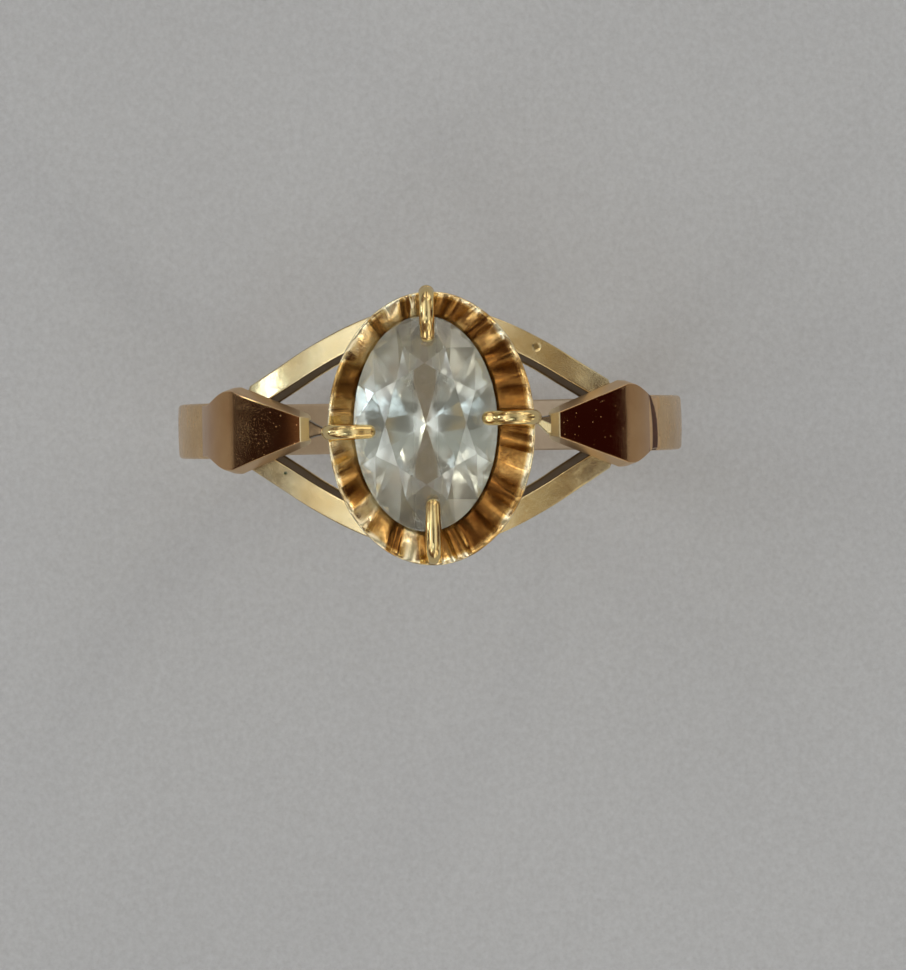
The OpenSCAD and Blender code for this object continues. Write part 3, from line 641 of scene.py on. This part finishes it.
def make_collar():
    rings, sharp, tones = [], [], []
    n = len(RIDGES)
    zc = SEAT_Z + RISE
    for i in range(n):
        t0 = RIDGES[i]
        t1 = RIDGES[(i + 1) % n] + (360 if i == n - 1 else 0)
        wdt = t1 - t0
        share, valley, power = flute_shape(i)
        depth = min(FLUTE_D, wdt * 0.0165) * clamp(share, 0.4, 1.0)
        steps = max(8, int(wdt * 0.9))
        sharp.append(len(rings))
        for k in range(steps):
            u = k / steps
            t = t0 + wdt * u
            v = abs(u - valley) / (valley if u < valley else 1 - valley)
            d = (1 - v ** power) * depth
            ci, co = STONE_C, COLLAR_C
            ring = []
            p0 = Vector((*ell(SEAT_A, SEAT_B, t, ci), 0))
            p1 = Vector((*ell(COLLAR_A - 0.075, COLLAR_B - 0.075, t, co), 0))
            out = Vector((cos(radians(t)) / COLLAR_A, sin(radians(t)) / COLLAR_B, 0)).normalized()
            # inner wall
            ring.append(Vector((p0.x, p0.y, SEAT_Z - 0.34)))
            ring.append(Vector((p0.x, p0.y, SEAT_Z - 0.17)))
            ring.append(Vector((p0.x, p0.y, SEAT_Z - d * 0.15 - 0.015)))
            # flared face
            lean = 2.6 * (noise.noise(Vector((i * 3.3, 0.4, 6.6))) * (1 - u) + noise.noise(Vector((((i + 1) % n) * 3.3, 0.4, 6.6))) * u)
            swell = FLUTES[i][1] * sin(pi * u) ** 0.6
            jag = noise.noise(Vector((t * 0.31, 2.2, 5.1)))
            for j in range(0, 12):
                f = j / 11
                z = SEAT_Z + RISE * (f ** 0.92) - d * (0.12 + 0.88 * f ** 1.2) + swell * sin(pi * f) - 0.035 * (0.5 + jag) * f * f
                qa = Vector((*ell(SEAT_A, SEAT_B, t + lean * f, ci), 0))
                q = qa.lerp(Vector((*ell(COLLAR_A - 0.075, COLLAR_B - 0.075, t + lean * f, co), 0)), f)
                ring.append(Vector((q.x, q.y, z)))
            top = ring[-1]
            # rolled edge, then the outside of the sheet
            for a in (22, 44, 66, 86):
                e1 = top + out * 0.05 * sin(radians(a)) + Vector((0, 0, 0.05 * (cos(radians(a)) - 1)))
                ring.append(e1)
            e2 = Vector((*ell(COLLAR_A - 0.045 - d * 0.15, COLLAR_B - 0.05 - d * 0.15, t + lean, co), zc - 0.25 - d * 0.72))
            for f in (0.08, 0.3, 0.55, 0.8, 0.93):
                ring.append(e1.lerp(e2, f) + out * 0.012 * sin(pi * f))
            ring.append(e2)
            # underside and foot
            foot = Vector((*ell(SEAT_A + 0.19, SEAT_B + 0.19, t, ci), SEAT_Z - 0.34))
            for f in (0.03, 0.12, 0.35, 0.6, 0.85):
                q = e2.lerp(foot, f)
                q.z -= 0.05 * sin(pi * f) + 0.10 * d * (1 - f)
                ring.append(q)
            ring.append(foot)
            rings.append(ring)
            m = smooth(0.0, 0.16, u) * smooth(0.0, 0.16, 1 - u)
            prev, nxt = FLUTES[i - 1][0], FLUTES[(i + 1) % n][0]
            side = prev if u < 0.5 else nxt
            base = FLUTES[i][0] * (0.5 + 0.5 * m) + side * 0.5 * (1 - m)
            row = []
            for j in range(len(ring)):
                f = clamp((j - 3) / 11)
                v = base + 0.18 * (f - 0.5)                 # painted shade: darker against the stone
                if 13 <= j <= 18:
                    v += 0.45                               # painted highlight along the rim
                row.append(clamp(v))
            tones.append(row)
    ob = loft("fluted_flare", rings, closed=True, sharp_rings=sharp, sharp_points=(0, 2, 24, 30))
    at = ob.data.attributes.new("tone", "FLOAT", "POINT")
    at.data.foreach_set("value", [v for row in tones for v in row])
    return ob


# ------------------------------------------------------------------ claws
def crown_plane_z(x, y, az):
    """Height of the crown's main facet plane over a point."""
    s = (x - STONE_C[0]) * cos(az) / SA + (y - STONE_C[1]) * sin(az) / SB
    return GZ + GIRDLE_T / 2 + CROWN * (1 - s) / (1 - TABLE)


def make_claw(name):
    c = CLAWS[name]
    az = radians(c[0])
    line = [(x, 0, z) for x, z in claw_line(c)]
    path = spline(line, 8)
    n = len(path)
    rings = []
    total = n - 1

    def section(p, t, r, flat):
        b = Vector((t.z, 0, -t.x)) * -1            # up side of the wire
        if b.x * 0 + b.z < 0 or (abs(t.z) > 0.9 and b.x < 0):
            b = -b
        ring = []
        for k in range(28):
            a = 2 * pi * k / 28
            ca, sa = cos(a), sin(a)
            rr = r * (1 - flat * 0.05 * max(0.0, ca) ** 3)     # a little burnished along the back
            ring.append(p + b * rr * ca + Vector((0, 1, 0)) * rr * sa)
        return ring

    for i, p in enumerate(path):
        t = (path[min(i + 1, total)] - path[max(i - 1, 0)]).normalized()
        f = i / total
        r = CLAW_R * (1 - 0.10 * smooth(0.55, 1.0, f))
        rings.append(section(p, t, r, smooth(0.45, 0.7, f)))
    t = (path[-1] - path[-3]).normalized()
    r = CLAW_R * 0.90
    for a in (14, 28, 42, 55, 67, 78, 86):
        a = radians(a)
        rings.append(section(path[-1] + t * r * 0.98 * sin(a), t, r * cos(a), 1.0))
    out = []
    lim = (GIRDLE_T / 2 + GZ)
    for ring in rings:
        new = []
        for p in ring:
            x = p.x * cos(az) - (p.y + c[1]) * sin(az)
            y = p.x * sin(az) + (p.y + c[1]) * cos(az)
            z = p.z
            inside = ((x - STONE_C[0]) / SA) ** 2 + ((y - STONE_C[1]) / SB) ** 2 < 1.02
            if inside:                              # the seat is pressed to the stone's crown
                z = max(z, crown_plane_z(x, y, az) - 0.004, lim)
            p = Vector((x, y, z))
            if z > GZ + 0.3:
                p.z += wobble(p, 0.010, 0.6)
            new.append(p)
        out.append(new)
    return loft(name + "_wire", out)


# ------------------------------------------------------------------ stone
def make_stone():
    """Oval brilliant: a round brilliant's facets stretched along the finger, cut one by one from an oval blank."""
    g = GIRDLE_T / 2
    bm = bmesh.new()
    m = 144
    lo, hi = -PAV - g - 0.3, CROWN + g
    rows = [[bm.verts.new((SA * cos(2 * pi * k / m), SB * sin(2 * pi * k / m), z)) for k in range(m)] for z in (lo, hi)]
    side = []
    for k in range(m):
        side.append(bm.faces.new((rows[0][k], rows[0][(k + 1) % m], rows[1][(k + 1) % m], rows[1][k])))
    bm.faces.new(list(reversed(rows[0])))
    bm.faces.new(rows[1])

    def cut(n, d, z0):
        nn = Vector((n[0] / SA, n[1] / SB, n[2]))
        L = nn.length
        co = nn * (d / (L * L)) + Vector((0, 0, z0))
        r = bmesh.ops.bisect_plane(bm, geom=bm.verts[:] + bm.edges[:] + bm.faces[:], dist=1e-6,
                                   plane_co=co, plane_no=nn / L, clear_outer=True)
        edges = [e for e in r["geom_cut"] if isinstance(e, bmesh.types.BMEdge) and e.is_boundary]
        if edges:
            bmesh.ops.holes_fill(bm, edges=edges, sides=0)

    def pol(r, az, z):
        return Vector((r * cos(radians(az)), r * sin(radians(az)), z))

    def plane3(a, b, c, up):
        n = (b - a).cross(c - a)
        if n.z * up < 0:
            n = -n
        return n, n.dot(a)

    rt = TABLE
    rs = rt * cos(radians(22.5)) + 0.5 * (1 - rt * cos(radians(22.5)))
    zs = CROWN * (1 - (rs * cos(radians(22.5)) - rt) / (1 - rt))
    rl = 0.24
    zl = PAV * (rl * cos(radians(22.5)) - 1)
    star = (CROWN - zs) / (rs - rt * cos(radians(22.5)))
    for k in range(8):
        jit = 0.004 * noise.noise(Vector((k * 1.9, 0.3, 0.7)))      # facets set by hand aren't quite even
        cut(pol(CROWN / (1 - rt), 45 * k, 1), CROWN / (1 - rt) * (1 + jit), g)
    for k in range(8):
        cut(pol(star, 45 * k + 22.5, 1), star * rt * cos(radians(22.5)) + CROWN, g)
    for k in range(8):
        for s in (-1, 1):
            n, d = plane3(pol(1, 45 * k + 22.5, 0), pol(1, 45 * k + 22.5 + s * 22.5, 0), pol(rs, 45 * k + 22.5, zs), 1)
            cut(n, d, g)
    for k in range(8):
        cut(pol(PAV, 45 * k, -1), PAV, -g)
    for k in range(8):
        for s in (-1, 1):
            n, d = plane3(pol(1, 45 * k + 22.5, 0), pol(1, 45 * k + 22.5 + s * 22.5, 0), pol(rl, 45 * k + 22.5, zl), -1)
            cut(n, d, -g)
    bmesh.ops.remove_doubles(bm, verts=bm.verts[:], dist=1e-4)
    bmesh.ops.dissolve_degenerate(bm, dist=1e-4, edges=bm.edges[:])
    bmesh.ops.recalc_face_normals(bm, faces=bm.faces[:])
    uvl = bm.loops.layers.uv.new("surface")
    for f in bm.faces:
        f.smooth = abs(f.normal.z) < 0.02
        for l in f.loops:
            l[uvl].uv = (l.vert.co.x, l.vert.co.y)
    for e in bm.edges:
        if len(e.link_faces) == 2 and not (e.link_faces[0].smooth and e.link_faces[1].smooth):
            e.smooth = False
    for v in bm.verts:
        v.co = (v.co + Vector((STONE_C[0], STONE_C[1], GZ))) * MM
    return mesh_of("oval_brilliant", bm)


# ------------------------------------------------------------------ pieces
hoop = place(make_shank(), "shank", mat_shank)
plate = place(make_wedge(1), "right_shoulder", mat_wedge)
# the faces where the plate ends on the hoop take the painted shade crescent
for ob in (hoop, plate):
    ob.data.materials.append(mat_shade_crescent)
    for face in ob.data.polygons:
        fc, fn = face.center * 1000, face.normal
        if ob is hoop and 7.9 < fc.x < 8.45 and fc.z > 0 and (fc.x ** 2 + fc.z ** 2) ** 0.5 > OUT_R - 0.12:
            face.material_index = 1
        if ob is plate and fc.x > 8.0 and fn.x > 0.90 and abs(fn.y) < 0.5:
            face.material_index = 1
place(make_wedge(-1), "left_shoulder", mat_wedge)
place(make_arm(1, 1, 0.0, "bar_right_rear"), "right_rear_arm", mat_arm)
place(make_arm(1, -1, 0.0, "bar_right_front"), "right_front_arm", mat_arm)
place(make_arm(-1, 1, 0.0, "bar_left_rear"), "left_rear_arm", mat_arm)
place(make_arm(-1, -1, 0.2, "bar_left_front"), "left_front_arm", mat_arm)
place(make_pin(1), "right_shoulder_pin", mat_link_shaded)
place(make_pin(-1), "left_shoulder_pin", mat_link_shaded)
place(make_rail(), "gallery_rail", mat_head)
place(make_collet(), "collet", mat_head)
place(make_collar(), "fluted_collar", mat_collar)
for claw_name in CLAWS:
    place(make_claw(claw_name), claw_name, mat_claw)
place(make_stone(), "stone", mat_gem)


# ------------------------------------------------------------------ floor
def make_floor():
    z = -OUT_R * MM - 0.00002
    bm = bmesh.new()
    s = 0.45
    bmesh.ops.create_grid(bm, x_segments=2, y_segments=2, size=s, matrix=Matrix.Translation((0, 0, z)))
    ob = mesh_of("floor", bm)
    m = bpy.data.materials.new("pale_floor")
    m.use_nodes = True
    m.node_tree.nodes.clear()
    T = Tree(m.node_tree)
    tc = T.add("ShaderNodeTexCoord")
    mm = T.add("ShaderNodeVectorMath", {0: tc.outputs["Object"], "Scale": 1000.0}, operation="SCALE").outputs[0]
    grain = T.add("ShaderNodeTexNoise", {"Vector": mm, "Scale": 4.5, "Detail": 5.0, "Roughness": 0.7}).outputs[0]
    soft = T.add("ShaderNodeTexNoise", {"Vector": mm, "Scale": 0.12, "Detail": 3.0, "Roughness": 0.6}).outputs[0]
    col = T.ramp(grain, [(0.3, (0.505, 0.515, 0.53)), (0.7, (0.605, 0.62, 0.64))])
    col = T.mix(T.math("MULTIPLY", soft, 0.25), col, (0.53, 0.54, 0.565))
    bump = T.add("ShaderNodeBump", {"Height": grain, "Strength": 0.35, "Distance": 0.00012}).outputs[0]
    b = T.add("ShaderNodeBsdfPrincipled", {"Base Color": col, "Roughness": 0.95, "Specular IOR Level": 0.1, "Normal": bump})
    T.add("ShaderNodeOutputMaterial", {"Surface": b.outputs[0]})
    ob.data.materials.append(m)
    return ob


make_floor()


# ------------------------------------------------------------------ light: a soft studio drawn in the world shader
def make_world():
    w = bpy.data.worlds.new("soft_studio")
    scene.world = w
    w.use_nodes = True
    w.node_tree.nodes.clear()
    T = Tree(w.node_tree)
    d = T.add("ShaderNodeTexCoord").outputs["Generated"]
    xyz = T.add("ShaderNodeSeparateXYZ", {0: d})
    x, y, z = xyz.outputs
    polar = T.math("DEGREES" if False else "MULTIPLY", T.math("ARCCOSINE", T.math("MINIMUM", T.math("MAXIMUM", z, -1.0), 1.0)), 180 / pi)
    flat = T.math("SQRT", T.math("ADD", T.math("MULTIPLY", x, x), T.math("ADD", T.math("MULTIPLY", y, y), 1e-6)))

    def patch(az, half_az, p0, p1, feather):
        """Mask of a panel: azimuth az +- half_az, polar angle p0 to p1 from straight up, in degrees."""
        c = T.math("DIVIDE", T.math("ADD", T.math("MULTIPLY", x, cos(radians(az))), T.math("MULTIPLY", y, sin(radians(az)))), flat)
        off = T.math("MULTIPLY", T.math("ARCCOSINE", T.math("MINIMUM", T.math("MAXIMUM", c, -1.0), 1.0)), 180 / pi)
        a = T.add("ShaderNodeMapRange", {"Value": off, "From Min": half_az + feather, "From Max": half_az - feather},
                  interpolation_type="SMOOTHSTEP").outputs[0]
        mid, half = (p0 + p1) / 2, (p1 - p0) / 2
        e = T.math("ABSOLUTE", T.math("SUBTRACT", polar, mid))
        b = T.add("ShaderNodeMapRange", {"Value": e, "From Min": half + feather, "From Max": half - feather},
                  interpolation_type="SMOOTHSTEP").outputs[0]
        return T.math("MULTIPLY", a, b)

    pos = T.math("DIVIDE", polar, 180.0)
    col = T.ramp(pos, SKY, "LINEAR")
    # the camera's own dark shape overhead, long in the direction of the finger
    ax = T.add("ShaderNodeMapRange", {"Value": T.math("ABSOLUTE", x), "From Min": 0.29, "From Max": 0.17},
               interpolation_type="SMOOTHSTEP").outputs[0]
    ax = T.math("MULTIPLY", ax, T.math("GREATER_THAN", z, 0.0))
    ay = T.add("ShaderNodeMapRange", {"Value": T.math("ABSOLUTE", y), "From Min": 0.84, "From Max": 0.70},
               interpolation_type="SMOOTHSTEP").outputs[0]
    col = T.mix(T.math("MULTIPLY", ax, ay), col, (0.28, 0.285, 0.265))
    ay = T.add("ShaderNodeMapRange", {"Value": T.math("ABSOLUTE", T.math("ADD", y, 0.30)), "From Min": 0.50, "From Max": 0.36},
               interpolation_type="SMOOTHSTEP").outputs[0]
    over = T.math("MULTIPLY", ax, ay)
    col = T.mix(over, col, (0.055, 0.05, 0.042))
    for az, ha, p0, p1, f, c in PANELS:
        col = T.mix(patch(az, ha, p0, p1, f), col, c)
    bg = T.add("ShaderNodeBackground", {"Color": col, "Strength": 1.0})
    T.add("ShaderNodeOutputWorld", {"Surface": bg.outputs[0]})


# share of the way from straight up to straight down, colour
SKY = [(0.0, (0.80, 0.81, 0.82)), (0.21, (0.98, 0.99, 1.01)), (0.265, (0.86, 0.85, 0.84)), (0.305, (0.36, 0.27, 0.20)),
       (0.345, (0.17, 0.105, 0.065)), (0.43, (0.11, 0.062, 0.036)), (0.51, (0.09, 0.05, 0.03)), (0.56, (0.35, 0.34, 0.33))]
# azimuth, half width, polar from, polar to, feather, colour (linear, above 1 is bright)
PANELS = [
    (180, 50, 34, 49, 5, (1.6, 1.62, 1.64)),       # long soft window on the left
    (161, 7, 49, 82, 4, (0.98, 0.98, 0.95)),
    (199, 7, 49, 82, 4, (1.05, 1.06, 1.04)),
    (19, 7, 76, 92, 3, (1.35, 1.32, 1.15)),        # seen only by the left flutes
    (341, 7, 76, 92, 3, (1.35, 1.32, 1.15)),
    (0, 50, 44, 52, 5, (0.60, 0.50, 0.34)),        # the right is duller
    (19, 7, 50, 70, 4, (0.40, 0.33, 0.20)),
    (341, 7, 50, 70, 4, (0.40, 0.33, 0.20)),
    (52, 11, 60, 88, 4, (1.5, 1.4, 1.2)),          # narrow windows behind and in front
    (75, 5, 62, 90, 3, (1.7, 1.6, 1.5)),
    (102, 5, 62, 90, 3, (1.5, 1.45, 1.3)),
    (279, 5, 62, 90, 3, (1.6, 1.6, 1.55)),
    (291, 5, 60, 90, 3, (1.4, 1.3, 1.0)),
    (312, 7, 60, 90, 3, (1.3, 1.2, 1.0)),
    (180, 12, 51, 62, 4, (0.20, 0.12, 0.08)),      # the left plate's tip sees this
    (180, 9, 60, 94, 3, (0.034, 0.017, 0.014)),    # dark red box wall seen by the left plate
    (0, 9, 49, 94, 3, (0.034, 0.0075, 0.006)),   # and by the right one
    (222, 7, 31, 43, 2.5, (0.10, 0.10, 0.11)),     # a dark gap beside the pane
    (250, 16, 13, 30, 2, (1.9, 2.2, 2.45)),        # pane seen in one big facet of the stone
    (172.5, 3.5, 77, 85, 1.5, (9.0, 10.5, 11.5)),  # small bright pane, seen in one facet of the stone
    (180, 8, 40, 46, 2, (6.5, 6.3, 5.6)),          # lamps that glint on the claws, the rim and the ridges
    (62, 4, 50, 58, 2, (7.0, 6.6, 5.6)),
    (305, 4, 50, 58, 2, (7.0, 6.6, 5.6)),
    (232, 4, 48, 56, 2, (6.0, 5.8, 5.2)),
    (115, 3, 66, 74, 2, (6.0, 5.8, 5.2)),
]
make_world()

# ------------------------------------------------------------------ camera: straight down on the head
cam_data = bpy.data.cameras.new("camera")
cam = bpy.data.objects.new("camera", cam_data)
scene.collection.objects.link(cam)
cam.location = (0, 0, 0.125)
cam.rotation_euler = (0, 0, radians(-1.1))
cam_data.sensor_width = 36.0
cam_data.lens = 3269 * 36.0 / 970
cam_data.clip_start = 0.001
cam_data.clip_end = 10
cam_data.shift_x = (453 - 430) / 970
cam_data.shift_y = -(485 - 427) / 970
scene.camera = cam

scene.view_settings.view_transform = "Standard"
scene.view_settings.look = "None"
scene.cycles.use_denoising = True
scene.cycles.max_bounces = 20
scene.cycles.transmission_bounces = 18
scene.cycles.glossy_bounces = 8
scene.cycles.blur_glossy = 0.3
